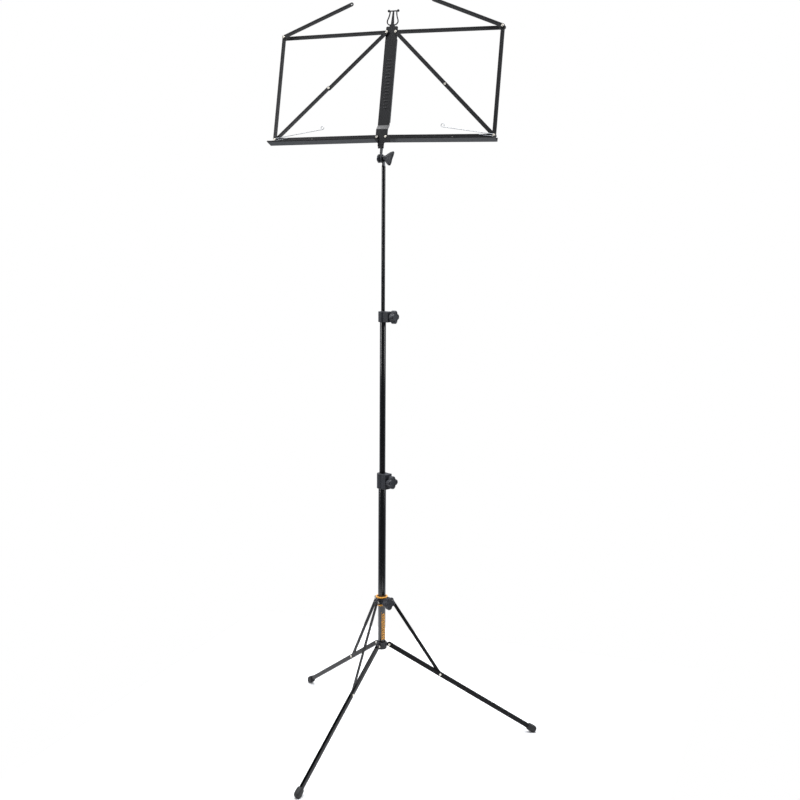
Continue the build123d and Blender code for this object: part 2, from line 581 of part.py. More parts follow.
with BuildPart() as tilt_wing_knob:
    wing_start = TAB_THICKNESS / 2 + GAP
    with BuildSketch(tilt_plane(wing_start)):
        Circle(WING_HUB_RADIUS)
    extrude(amount=WING_LENGTH * 0.62, taper=4)
    lean = radians(WING_ANGLE)
    wing_plane = Plane(
        origin=(wing_start, 0, TILT_AXIS_HEIGHT), x_dir=(1, 0, 0), z_dir=(0, -cos(lean), sin(lean)),
    )
    half_span = WING_SPAN / 2
    with BuildSketch(wing_plane):
        with BuildLine():
            for direction in (-1, 1):
                Spline(
                    (WING_LENGTH * 0.16, direction * half_span * 0.36),
                    (WING_LENGTH * 0.34, direction * half_span * 0.64),
                    (WING_LENGTH * 0.62, direction * half_span * 0.90),
                    (WING_LENGTH * 0.82, direction * half_span),
                    (WING_LENGTH * 0.96, direction * half_span * 0.90),
                    (WING_LENGTH, direction * half_span * 0.5),
                    (WING_LENGTH * 0.97, 0),
                )
            Line((WING_LENGTH * 0.16, -half_span * 0.36), (WING_LENGTH * 0.16, half_span * 0.36))
        make_face()
    extrude(amount=WING_THICKNESS / 2, both=True)
    with BuildSketch(tilt_plane(wing_start)):
        Circle(BOLT_RADIUS + RUNNING)
    extrude(amount=WING_BOLT_DEPTH, mode=Mode.SUBTRACT)

# ---------------------------------------------------------------- desk plane
desk_lean = radians(DESK_TILT)
desk_origin = (
    BLADE_X,
    TILT_DROP * sin(desk_lean),
    TILT_AXIS_HEIGHT + TILT_DROP * cos(desk_lean),
)
desk = Plane(origin=desk_origin, x_dir=(1, 0, 0), z_dir=(0, -cos(desk_lean), sin(desk_lean)))
desk_centre = Plane(origin=desk_origin, x_dir=(0, 1, 0), z_dir=(1, 0, 0))

droop = radians(BAR_DROOP)
lower_pivot = Vector(PIVOT_SPACING / 2, 0)
upper_pivot = Vector(PIVOT_SPACING / 2, DESK_HEIGHT)
bar_run = Vector(BAR_LENGTH * cos(droop), -BAR_LENGTH * sin(droop))
lower_corner = lower_pivot + bar_run
upper_corner = upper_pivot + bar_run
diagonal_run = lower_corner - upper_pivot
diagonal_length = diagonal_run.length
UPPER_DIAGONAL_LENGTH = (diagonal_length + BAR_LENGTH - DESK_HEIGHT) / 2
middle_joint = upper_pivot + diagonal_run * (UPPER_DIAGONAL_LENGTH / diagonal_length)
arm_lift = radians(180 - ARM_ANGLE - BAR_DROOP)
arm_end = upper_corner + Vector(ARM_LENGTH * cos(arm_lift), ARM_LENGTH * sin(arm_lift))


def flat_bar(start, end, layer, start_hole, end_hole):
    """Flat steel bar with round ends and a shallow groove along its front face."""
    run = end - start
    heading = degrees(atan2(run.Y, run.X))
    centre = (start + end) * 0.5
    with BuildPart() as made:
        with BuildSketch(desk.offset(layer)):
            with Locations(centre):
                SlotCenterToCenter(run.length, BAR_WIDTH, rotation=heading)
            with Locations(start):
                Circle(start_hole, mode=Mode.SUBTRACT)
            with Locations(end):
                Circle(end_hole, mode=Mode.SUBTRACT)
        extrude(amount=BAR_THICKNESS)
        with BuildSketch(desk.offset(layer + BAR_THICKNESS)):
            with Locations(centre):
                SlotCenterToCenter(run.length - 3 * BAR_WIDTH, BAR_GROOVE_WIDTH, rotation=heading)
        extrude(amount=-BAR_GROOVE_DEPTH, mode=Mode.SUBTRACT)
    return made.part


def desk_rivet(place, back, front):
    """Rivet across the desk; back and front are the inner faces of its heads."""
    under_head = plane_at(desk, place).offset(back)
    return rivet(under_head, RIVET_RADIUS, front - back, RIVET_HEAD_RADIUS, RIVET_HEAD)


# ---------------------------------------------------------------- spine and blade
spine_side = Plane(origin=desk.origin, x_dir=desk.z_dir, z_dir=-desk.x_dir)   # local x forward, y up
half = SPINE_WIDTH / 2
plate_top = DESK_HEIGHT + SHOULDER
lyre_foot = plate_top + 3.5
lyre_top = plate_top + LYRE_HEIGHT
foot_back = SPINE_STEP - SPINE_SHEET
tongue = TONGUE_WIDTH / 2

with BuildPart() as spine_plate:
    with BuildSketch(desk.offset(-SPINE_SHEET)):
        with BuildLine():
            Polyline(
                (-half, STEP_TOP), (half, STEP_TOP), (half, plate_top - 1.5), (half - 1.5, plate_top),
                (6.2, plate_top), (5.2, plate_top + 1.8), (7.5, plate_top + 4.2), (-7.5, plate_top + 4.2),
                (-5.2, plate_top + 1.8), (-6.2, plate_top), (-half + 1.5, plate_top),
                (-half, plate_top - 1.5), close=True,
            )
        make_face()
    extrude(amount=SPINE_SHEET)
    # lyre-shaped top: two bowed arms, a cross bar with round ends and a tapered middle bar
    for direction in (-1, 1):
        with BuildSketch(desk.offset(-SPINE_SHEET)):
            with BuildLine():
                Spline(
                    (direction * 3.0, lyre_foot), (direction * 8.4, lyre_foot + 0.8),
                    (direction * 11.5, lyre_foot + 6.0), (direction * 9.4, lyre_foot + 14.5),
                    (direction * 7.4, lyre_top - 6.0), (direction * 7.0, lyre_top - 1.0),
                )
            trace(line_width=LYRE_STROKE)
        extrude(amount=SPINE_SHEET)
    with BuildSketch(desk.offset(-SPINE_SHEET)):
        with Locations((0, lyre_top - 1.0)):
            Rectangle(20.0, LYRE_STROKE)
        with Locations((-10.0, lyre_top - 0.6), (10.0, lyre_top - 0.6)):
            Circle(2.6)
        with Locations((0, lyre_foot)):
            Trapezoid(6.8, lyre_top - lyre_foot, 86.0, align=(Align.CENTER, Align.MIN))
    extrude(amount=SPINE_SHEET)
    # side flanges folded back
    flange_low = STEP_TOP + 6.0
    flange_high = DESK_HEIGHT - 14.0
    with BuildSketch(desk):
        for direction in (-1, 1):
            with Locations((direction * (half - SPINE_SHEET / 2), (flange_low + flange_high) / 2)):
                Rectangle(SPINE_SHEET, flange_high - flange_low)
    extrude(amount=-SPINE_FLANGE)
    # the sheet steps forward to its foot
    with BuildSketch(spine_side):
        with BuildLine():
            Polyline(
                (0, STEP_TOP), (SPINE_STEP, STEP_BOTTOM), (SPINE_STEP, STEP_BOTTOM - 2.0),
                (foot_back, STEP_BOTTOM - 2.0), (foot_back, STEP_BOTTOM - 0.8),
                (-SPINE_SHEET, STEP_TOP - 0.8), (-SPINE_SHEET, STEP_TOP + 1.0), (0, STEP_TOP + 1.0),
                close=True,
            )
        make_face()
    extrude(amount=half, both=True)
    with BuildSketch(desk.offset(foot_back)):
        with BuildLine():
            Polyline(
                (-half, STEP_BOTTOM - 2.0), (half, STEP_BOTTOM - 2.0), (half, -7.0), (tongue, -13.0),
                (tongue, -TONGUE_DROP + 4.0), (2.0, -TONGUE_DROP), (-2.0, -TONGUE_DROP),
                (-tongue, -TONGUE_DROP + 4.0), (-tongue, -13.0), (-half, -7.0), close=True,
            )
        make_face()
    extrude(amount=SPINE_SHEET)
    with BuildSketch(desk.offset(-SPINE_SHEET)):
        with Locations(upper_pivot, (-upper_pivot.X, upper_pivot.Y)):
            Circle(RIVET_RADIUS)
    extrude(amount=SPINE_SHEET, mode=Mode.SUBTRACT)
    with BuildSketch(desk.offset(foot_back)):
        with Locations(lower_pivot, (-lower_pivot.X, lower_pivot.Y)):
            Circle(RIVET_RADIUS)
        with Locations((-BLADE_RIVET_X, BLADE_RIVET_Y), (BLADE_RIVET_X, BLADE_RIVET_Y)):
            Circle(LEDGE_RIVET_RADIUS)
    extrude(amount=SPINE_SHEET, mode=Mode.SUBTRACT)

with BuildPart() as tilt_blade:
    with BuildSketch(spine_side):
        with BuildLine():
            Polyline(
                (foot_back, BLADE_FOOT_TOP), (foot_back, -TONGUE_DROP), (BLADE_WIDTH / 2, -TILT_DROP),
                (-BLADE_WIDTH / 2, -TILT_DROP), (foot_back - BLADE_WIDTH, -TONGUE_DROP),
                (foot_back - BLADE_WIDTH + 4.0, BLADE_FOOT_TOP), close=True,
            )
        make_face()
        with Locations((0, -TILT_DROP)):
            Circle(BLADE_WIDTH / 2)
    extrude(amount=BLADE_THICKNESS / 2, both=True)
    with BuildSketch(desk.offset(foot_back - BLADE_THICKNESS)):
        with Locations((0, BLADE_FOOT_TOP)):
            Rectangle(BLADE_FOOT_WIDTH, BLADE_FOOT_TOP + TONGUE_DROP, align=(Align.CENTER, Align.MAX))
        with Locations((-BLADE_RIVET_X, BLADE_RIVET_Y), (BLADE_RIVET_X, BLADE_RIVET_Y)):
            Circle(LEDGE_RIVET_RADIUS, mode=Mode.SUBTRACT)
    extrude(amount=BLADE_THICKNESS)
    with BuildSketch(spine_side):
        with Locations((0, -TILT_DROP)):
            Circle(BOLT_RADIUS + RUNNING)
    extrude(amount=BLADE_THICKNESS, both=True, mode=Mode.SUBTRACT)

blade_rivets = group(
    rivet(
        plane_at(desk, (x, BLADE_RIVET_Y)).offset(foot_back - BLADE_THICKNESS),
        LEDGE_RIVET_RADIUS, BLADE_THICKNESS + SPINE_SHEET, LEDGE_RIVET_HEAD_RADIUS, LEDGE_RIVET_HEAD,
    )
    for x in (-BLADE_RIVET_X, BLADE_RIVET_X)
)

spine_rivets = group(
    desk_rivet(place, back, front)
    for direction in (-1, 1)
    for place, back, front in (
        ((direction * upper_pivot.X, upper_pivot.Y), -SPINE_SHEET, PIVOT_HEAD_LAYER),
        ((direction * lower_pivot.X, lower_pivot.Y), foot_back, LEDGE_LAYER + GAP),
    )
)

# ---------------------------------------------------------------- right half of the desk
FREE_HOLE = RIVET_RADIUS + RUNNING
wing = {}
wing["upper_bar"] = flat_bar(upper_pivot, upper_corner, UPPER_BAR_LAYER, FREE_HOLE, RIVET_RADIUS)
wing["lower_bar"] = flat_bar(lower_pivot, lower_corner, LOWER_BAR_LAYER, FREE_HOLE, RIVET_RADIUS)
wing["side_bar"] = flat_bar(lower_corner, upper_corner, SIDE_BAR_LAYER, FREE_HOLE, FREE_HOLE)
wing["upper_diagonal"] = flat_bar(upper_pivot, middle_joint, UPPER_DIAGONAL_LAYER, FREE_HOLE, FREE_HOLE)
wing["lower_diagonal"] = flat_bar(middle_joint, lower_corner, LOWER_DIAGONAL_LAYER, RIVET_RADIUS, FREE_HOLE)
wing["extension_arm"] = flat_bar(upper_corner, arm_end, FRONT_LAYER, FREE_HOLE, FREE_HOLE)

# the top corner rivet carries a spacer sleeve between the upper bar and the side bar
sleeve_back = UPPER_BAR_LAYER + BAR_THICKNESS
top_corner_rivet = desk_rivet(upper_corner, UPPER_BAR_LAYER, FRONT_LAYER + BAR_THICKNESS + GAP)
with BuildPart() as top_rivet:
    add(top_corner_rivet)
    with BuildSketch(plane_at(desk, upper_corner).offset(sleeve_back)):
        Circle(RIVET_HEAD_RADIUS)
    extrude(amount=SIDE_BAR_LAYER - GAP - sleeve_back)
wing["top_rivet"] = top_rivet.part

# the rivet between the diagonal's halves is fixed in the lower half
joint_plane = plane_at(desk, middle_joint)
with BuildPart() as middle_rivet:
    with BuildSketch(joint_plane.offset(PIVOT_HEAD_LAYER)):
        Circle(RIVET_HEAD_RADIUS)
    extrude(amount=LOWER_DIAGONAL_LAYER - PIVOT_HEAD_LAYER)
    with BuildSketch(joint_plane.offset(LOWER_DIAGONAL_LAYER)):
        Circle(RIVET_RADIUS)
    extrude(amount=BAR_THICKNESS)
    with BuildSketch(joint_plane.offset(LOWER_DIAGONAL_LAYER + BAR_THICKNESS)):
        Circle(RIVET_HEAD_RADIUS)
    extrude(amount=RIVET_HEAD)
wing["middle_rivet"] = middle_rivet.part

# Ledge: an angle section whose upright leg is riveted to the front of the lower bar
bar_frame = Plane(
    origin=desk.from_local_coords(lower_pivot),
    x_dir=desk.from_local_coords(lower_corner) - desk.from_local_coords(lower_pivot),
    z_dir=desk.z_dir,
)
ledge_section = Plane(origin=bar_frame.origin, x_dir=bar_frame.z_dir, z_dir=-bar_frame.x_dir)
ledge_rivet_place = (LEDGE_RIVET_ALONG, -LEDGE_RIVET_DROP)
shelf_front = LEDGE_LAYER + LEDGE_DEPTH
shelf_rise = LEDGE_DEPTH * sin(radians(LEDGE_RISE)) / cos(radians(LEDGE_RISE))
shelf_plan = Plane(origin=bar_frame.origin, x_dir=bar_frame.x_dir, z_dir=bar_frame.y_dir)
notch_back = -LEDGE_LAYER - LEDGE_SHEET - LEDGE_BEND


def bar_ledge(notched):
    """Ledge with a shelf that rises to its front lip; the notched one starts further out."""
    with BuildPart() as made:
        with BuildSketch(ledge_section.offset(-LEDGE_OUTER_END)):
            with BuildLine():
                FilletPolyline(
                    (LEDGE_LAYER, -BAR_WIDTH / 2 - 3 * GAP), (LEDGE_LAYER, -LEDGE_DROP),
                    (shelf_front, shelf_rise - LEDGE_DROP),
                    (shelf_front, shelf_rise - LEDGE_DROP + LEDGE_LIP),
                    radius=LEDGE_BEND,
                )
                offset(amount=LEDGE_SHEET, side=Side.LEFT)
            make_face()
        extrude(amount=LEDGE_OUTER_END - LEDGE_INNER_END)
        with BuildSketch(bar_frame.offset(LEDGE_LAYER)):
            with Locations((2 * BAR_WIDTH, -0.8)):
                Rectangle(BAR_LENGTH - 4 * BAR_WIDTH, BAR_WIDTH, align=(Align.MIN, Align.MAX))
        extrude(amount=LEDGE_SHEET)
        if notched:
            with BuildSketch(shelf_plan):
                with BuildLine():
                    Polyline(
                        (LEDGE_INNER_END, notch_back), (LEDGE_INNER_END + LEDGE_NOTCH, notch_back),
                        (LEDGE_INNER_END + LEDGE_NOTCH + LEDGE_NOTCH_SLANT, -shelf_front - 1),
                        (LEDGE_INNER_END, -shelf_front - 1), close=True,
                    )
                make_face()
            extrude(amount=-LEDGE_DROP, mode=Mode.SUBTRACT)
        with BuildSketch(bar_frame.offset(LEDGE_LAYER)):
            with Locations(ledge_rivet_place):
                Circle(LEDGE_RIVET_RADIUS)
        extrude(amount=LEDGE_SHEET, mode=Mode.SUBTRACT)
    return made.part


with BuildPart() as drilled_lower_bar:
    add(wing["lower_bar"])
    with BuildSketch(bar_frame.offset(LOWER_BAR_LAYER)):
        with Locations(ledge_rivet_place):
            Circle(LEDGE_RIVET_RADIUS)
    extrude(amount=BAR_THICKNESS, mode=Mode.SUBTRACT)
wing["lower_bar"] = drilled_lower_bar.part

corner_rivet = desk_rivet(lower_corner, LOWER_DIAGONAL_LAYER - GAP, FRONT_LAYER + 2 * WIRE_RADIUS + 2 * GAP)
with BuildPart() as lower_rivets:
    add(corner_rivet)
    with BuildSketch(plane_at(bar_frame, ledge_rivet_place).offset(LOWER_BAR_LAYER)):
        Circle(LEDGE_RIVET_RADIUS)
    extrude(amount=BAR_THICKNESS + LEDGE_SHEET)
    with BuildSketch(plane_at(bar_frame, ledge_rivet_place).offset(LEDGE_LAYER + LEDGE_SHEET)):
        Circle(LEDGE_RIVET_HEAD_RADIUS)
    extrude(amount=LEDGE_RIVET_HEAD)
wing["lower_rivets"] = lower_rivets.part

# Page wire: a tail, a hairpin bend round the corner rivet, a long strand and a ring
wire_frame = Plane(
    origin=desk.from_local_coords((lower_corner.X, lower_corner.Y, FRONT_LAYER + WIRE_RADIUS + GAP)),
    x_dir=-desk.x_dir, z_dir=-desk.z_dir,
)
hairpin = RIVET_RADIUS + RUNNING + WIRE_RADIUS
wire_rise = radians(WIRE_ANGLE)


def wire_point(along, across):
    """Point of the page wire: along its strand and across it, from the corner rivet."""
    x = along * cos(wire_rise) - across * sin(wire_rise)
    y = along * sin(wire_rise) + across * cos(wire_rise)
    return (x, y)


with BuildPart() as page_wire:
    with BuildLine(wire_frame) as wire_path:
        Line(wire_point(WIRE_TAIL, -hairpin), wire_point(0, -hairpin))
        CenterArc((0, 0), hairpin, WIRE_ANGLE - 90, -180)
        Line(wire_point(0, hairpin), wire_point(WIRE_LENGTH, hairpin))
        CenterArc(
            wire_point(WIRE_LENGTH, hairpin + WIRE_RING_RADIUS), WIRE_RING_RADIUS,
            WIRE_ANGLE - 90, WIRE_RING_TURN,
        )
    with BuildSketch(Plane(origin=wire_path.wire() @ 0, z_dir=wire_path.wire() % 0)):
        Circle(WIRE_RADIUS)
    sweep(path=wire_path.wire())
wing["page_wire"] = page_wire.part

# ---------------------------------------------------------------- export
def mirrored(piece):
    """The same piece on the left of the desk."""
    with BuildPart() as made:
        mirror(piece, about=desk_centre)
    return made.part


pieces = {
    "base_tube": base_tube.part,
    "leg_hub": leg_hub.part,
    "hub_rivets": hub_rivets,
    **legs,
    "slide_collar": slide_collar.part,
    "collar_rings": collar_rings,
    "collar_pins": collar_pins.part,
    "lower_clamp": lower_clamp,
    "upper_clamp": upper_clamp,
    **knobs,
    "middle_bush": middle_bush,
    "middle_tube": middle_tube.part,
    "rod_bush": rod_bush,
    "upper_rod": upper_rod.part,
    "tilt_bolt": tilt_bolt.part,
    "tilt_washers": tilt_washers,
    "tilt_wing_knob": tilt_wing_knob.part,
    "spine_plate": spine_plate.part,
    "tilt_blade": tilt_blade.part,
    "blade_rivets": blade_rivets,
    "spine_rivets": spine_rivets,
    "right_ledge": bar_ledge(notched=True),
    "left_ledge": mirrored(bar_ledge(notched=False)),
}
for name, piece in wing.items():
    pieces[f"right_{name}"] = piece
    pieces[f"left_{name}"] = mirrored(piece)

os.makedirs("parts", exist_ok=True)
for name, piece in pieces.items():
    piece.label = name
    export_step(piece, f"parts/{name}.step")
print(len(pieces), "nodes written")
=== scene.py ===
"""Looks of a folding music stand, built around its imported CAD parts.

The file is laid out as a Blender add-on: sizes and colours are properties, each group of pieces has
an operator, and a panel in the 3D view's sidebar lists them. Metres; +Z is up and the origin is on
the mast's axis at floor level.
"""
import json
import math

import bpy
import numpy as np
from mathutils import Matrix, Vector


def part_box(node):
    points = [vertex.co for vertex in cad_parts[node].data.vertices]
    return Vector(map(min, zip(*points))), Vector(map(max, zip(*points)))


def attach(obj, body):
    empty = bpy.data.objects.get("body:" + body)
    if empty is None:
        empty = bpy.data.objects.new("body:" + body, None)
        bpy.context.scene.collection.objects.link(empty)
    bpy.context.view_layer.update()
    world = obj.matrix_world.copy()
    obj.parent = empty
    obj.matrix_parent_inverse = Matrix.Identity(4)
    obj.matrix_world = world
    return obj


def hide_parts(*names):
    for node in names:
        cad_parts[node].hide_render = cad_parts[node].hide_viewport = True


bl_info = {
    "name": "Folding music stand",
    "version": (1, 0, 0),
    "blender": (4, 5, 0),
    "location": "View3D > Sidebar > Music stand",
    "description": "Tubes, knobs, feet, finishes and studio for a folding music stand",
    "category": "Add Mesh",
}

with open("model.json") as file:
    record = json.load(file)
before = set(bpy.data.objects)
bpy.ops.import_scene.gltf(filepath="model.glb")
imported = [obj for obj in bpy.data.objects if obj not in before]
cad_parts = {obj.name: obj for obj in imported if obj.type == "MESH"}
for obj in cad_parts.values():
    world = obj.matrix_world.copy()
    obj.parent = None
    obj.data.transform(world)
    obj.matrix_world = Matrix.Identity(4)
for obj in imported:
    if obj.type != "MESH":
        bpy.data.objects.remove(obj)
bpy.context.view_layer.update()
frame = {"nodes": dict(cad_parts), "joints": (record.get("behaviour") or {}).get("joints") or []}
JOINTS = {joint["name"]: joint for joint in frame["joints"]}
MM = 0.001

LEG_LENGTH = 364.0 * MM          # hub pivot to the middle of the foot cap
LEG_SLOPE = math.radians(31.8)   # leg below the horizontal
RIM = 0.4 * MM                   # rounding of a cut tube end
TUBE_WALL = 1.0 * MM
FLOOR_HALF = 0.62                # half the side of the studio floor
TAB_SHOULDER = 12.0 * MM         # the rod's flattening starts this far below the tilt axis
TAB_BLEND = 5.0 * MM
TAB_HALF_THICKNESS = 1.6 * MM
WING_LEAN = math.radians(30)     # wings lean this far towards the back
WING_SKEW = 0.08                 # share of the span by which the wings' ends run out of square
WING_DIP = 0.7 * MM              # hollow in the middle of the wings' front edge
WING_DIP_WIDTH = 5.0 * MM
RING_BORE = 9.6 * MM             # bore of the collar rings, as a radius
RING_HALF_HEIGHT = 1.6 * MM
MARK_ABOVE_TUBE_END = 48.5 * MM  # middle of the printed mark above the base tube's lower end
MARK_LINE = 0.55 * MM            # width of the mark's two lines
MARK_FILM = 0.05 * MM            # film above the tube's surface
MARK_SUNK = 0.2 * MM             # film's edges below the tube's surface
CHEVRONS = 11
CHEVRON_SHARE = 0.62             # inked share of a chevron's pitch
RIB_HALF_LENGTH = 5.4 * MM
RIB_HALF_WIDTH = 1.3 * MM
RIB_ROW_CENTRE = 0.51            # middle of the row of ribs, as a share of the desk's height


# ---------------------------------------------------------------- shapes
def unit(vector):
    """The vector divided by its length."""
    vector = np.asarray(vector, float)
    return vector / np.linalg.norm(vector)


def joint_place(name):
    """A point on a joint's axis and the axis itself."""
    joint = JOINTS[name]
    return np.array(joint["pos_m"], float), unit(joint["axis"])


def corners(node):
    """Lowest and highest corner of a CAD node."""
    low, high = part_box(node)
    return np.array(low), np.array(high)


def span_along(node, origin, axis):
    """Least and greatest distance of a node's points from the origin, measured along the axis."""
    reach = (vertex_places(frame["nodes"][node].data) - origin) @ axis
    return reach.min(), reach.max()


def surface(name, rings, loop=False, sharp=40.0):
    """Closed mesh over a grid of points, in which every ring is joined to the next one.

    With loop the last ring meets the first. Without it each end closes to a pole at the mean of its
    ring. The faces are turned so that the volume that they enclose is positive.
    """
    rows, columns = rings.shape[:2]
    points = rings.reshape(-1, 3)
    index = np.arange(rows * columns).reshape(rows, columns)
    if loop:
        index = np.vstack([index, index[:1]])
    beside = np.roll(index, -1, axis=1)
    quads = np.stack([index[:-1], beside[:-1], beside[1:], index[1:]], axis=-1).reshape(-1, 4)
    caps = np.empty((0, 3), int)
    if not loop:
        points = np.vstack([points, rings[0].mean(axis=0), rings[-1].mean(axis=0)])
        low = np.full(columns, rows * columns)
        caps = np.vstack([
            np.stack([beside[0], index[0], low], axis=-1),
            np.stack([index[-1], beside[-1], low + 1], axis=-1),
        ])
    triangles = np.vstack([quads[:, [0, 1, 2]], quads[:, [0, 2, 3]], caps])
    a, b, c = (points[triangles[:, corner]] for corner in range(3))
    if np.einsum("ij,ij->", a, np.cross(b, c)) < 0:
        quads, caps = quads[:, ::-1], caps[:, ::-1]
    mesh = bpy.data.meshes.new(name)
    mesh.from_pydata(points.tolist(), [], quads.tolist() + caps.tolist())
    mesh.shade_smooth()
    mesh.set_sharp_from_angle(angle=math.radians(sharp))
    mesh.validate()
    piece = bpy.data.objects.new(name, mesh)
    bpy.context.scene.collection.objects.link(piece)
    return piece


def joined(name, pieces):
    """One object from several, which keeps their vertices where they are."""
    meshes = [piece.data for piece in pieces]
    counts = np.cumsum([0] + [len(mesh.vertices) for mesh in meshes])
    points = np.vstack([vertex_places(mesh) for mesh in meshes])
    faces = [
        [corner + start for corner in polygon.vertices]
        for mesh, start in zip(meshes, counts.tolist())
        for polygon in mesh.polygons
    ]
    mesh = bpy.data.meshes.new(name)
    mesh.from_pydata(points.tolist(), [], faces)
    mesh.shade_smooth()
    mesh.set_sharp_from_angle(angle=math.radians(40))
    for piece in pieces:
        bpy.data.objects.remove(piece)
    made = bpy.data.objects.new(name, mesh)
    bpy.context.scene.collection.objects.link(made)
    return made


def vertex_places(mesh):
    """The mesh's vertices as rows of x, y, z."""
    points = np.empty(len(mesh.vertices) * 3)
    mesh.vertices.foreach_get("co", points)
    return points.reshape(-1, 3)


def turned(profile, origin, axis, segments=96):
    """Rings of a turned shape: each pair (distance along the axis, radius) swept once round it."""
    along, radius = np.asarray(profile, float).T
    axis = unit(axis)
    side = unit(np.cross(axis, (0.0, 0.0, 1.0) if abs(axis[2]) < 0.9 else (1.0, 0.0, 0.0)))
    up = np.cross(axis, side)
    angle = np.linspace(0, 2 * np.pi, segments, endpoint=False)[:, None]
    spokes = np.cos(angle) * side + np.sin(angle) * up
    return origin + along[:, None, None] * axis + radius[:, None, None] * spokes


def superellipse(half_width, half_height, power, segments):
    """Points of |x/a|^p + |y/b|^p = 1, one row of them for each a, b and p."""
    angle = np.linspace(0, 2 * np.pi, segments, endpoint=False)
    bend = (2 / np.asarray(power, float))[:, None]
    x = np.sign(np.cos(angle)) * np.abs(np.cos(angle)) ** bend
    y = np.sign(np.sin(angle)) * np.abs(np.sin(angle)) ** bend
    return np.asarray(half_width)[:, None] * x, np.asarray(half_height)[:, None] * y


def pipe(name, bottom, top, radius):
    """Drawn tube with broken edges: its wall's section swept round the mast's axis."""
    inner = radius - TUBE_WALL
    profile = [
        (bottom, inner), (bottom, radius - RIM), (bottom + RIM / 3, radius - RIM / 3),
        (bottom + RIM, radius), (top - RIM, radius), (top - RIM / 3, radius - RIM / 3),
        (top, radius - RIM), (top, inner),
    ]
    return surface(name, turned(profile, np.zeros(3), (0, 0, 1)), loop=True, sharp=50)


# ---------------------------------------------------------------- finishes
def linear(hexcode):
    """Linear RGBA from an sRGB hex colour."""
    srgb = np.array([int(hexcode[place:place + 2], 16) for place in (1, 3, 5)]) / 255
    rgb = np.where(srgb <= 0.04045, srgb / 12.92, ((srgb + 0.055) / 1.055) ** 2.4)
    return (*rgb.tolist(), 1.0)


def shade(colour, share):
    """A colour with its brightness multiplied, alpha kept."""
    return (*(min(1.0, part * share) for part in colour[:3]), 1.0)


def add_node(tree, kind, inputs, **settings):
    """Adds a node, sets its settings, and links or fills its inputs."""
    made = tree.nodes.new(kind)
    for name, value in settings.items():
        setattr(made, name, value)
    for socket, value in inputs.items():
        if isinstance(value, bpy.types.NodeSocket):
            tree.links.new(value, made.inputs[socket])
        else:
            made.inputs[socket].default_value = value
    return made


def finish(name, colour, roughness, metallic=0.0, ior=1.5, grain=0.8, depth=0.02, stretch=(1, 1, 1),
           blotch=40.0, spread=0.12, coat=0.0, level=0.5):
    """A surface with a fine bump of one grain size in mm, and broad changes of colour and roughness.

    grain is the spacing of the bump in mm, depth its height in mm, blotch the size in mm of the
    broad changes, spread their share of the colour, and stretch lengthens the grain along an axis.
    """
    material = bpy.data.materials.new(name)
    material.use_nodes = True
    tree = material.node_tree
    tree.nodes.clear()
    place = add_node(tree, "ShaderNodeTexCoord", {}).outputs["Object"]
    run = add_node(tree, "ShaderNodeMapping", {"Vector": place, "Scale": stretch}).outputs["Vector"]
    fine = add_node(tree, "ShaderNodeTexNoise", {"Vector": run, "Scale": 1000 / grain, "Detail": 2.0})
    broad = add_node(tree, "ShaderNodeTexNoise", {"Vector": place, "Scale": 1000 / blotch, "Detail": 3.0})
    ramp = add_node(tree, "ShaderNodeValToRGB", {"Fac": broad.outputs["Fac"]})
    ramp.color_ramp.elements[0].position = 0.3
    ramp.color_ramp.elements[0].color = shade(colour, 1 - spread)
    ramp.color_ramp.elements[1].position = 0.7
    ramp.color_ramp.elements[1].color = shade(colour, 1 + spread)
    gloss = add_node(
        tree, "ShaderNodeMapRange",
        {"Value": fine.outputs["Fac"], "From Min": 0.3, "From Max": 0.7,
         "To Min": roughness * 0.88, "To Max": min(1.0, roughness * 1.12)},
    )
    bump = add_node(
        tree, "ShaderNodeBump",
        {"Height": fine.outputs["Fac"], "Strength": 1.0, "Distance": depth * MM},
    )
    shader = add_node(
        tree, "ShaderNodeBsdfPrincipled",
        {"Base Color": ramp.outputs["Color"], "Roughness": gloss.outputs["Result"],
         "Normal": bump.outputs["Normal"], "Metallic": metallic, "IOR": ior, "Coat Weight": coat,
         "Coat Roughness": 0.12, "Specular IOR Level": level},
    )
    add_node(tree, "ShaderNodeOutputMaterial", {"Surface": shader.outputs["BSDF"]})
    return material


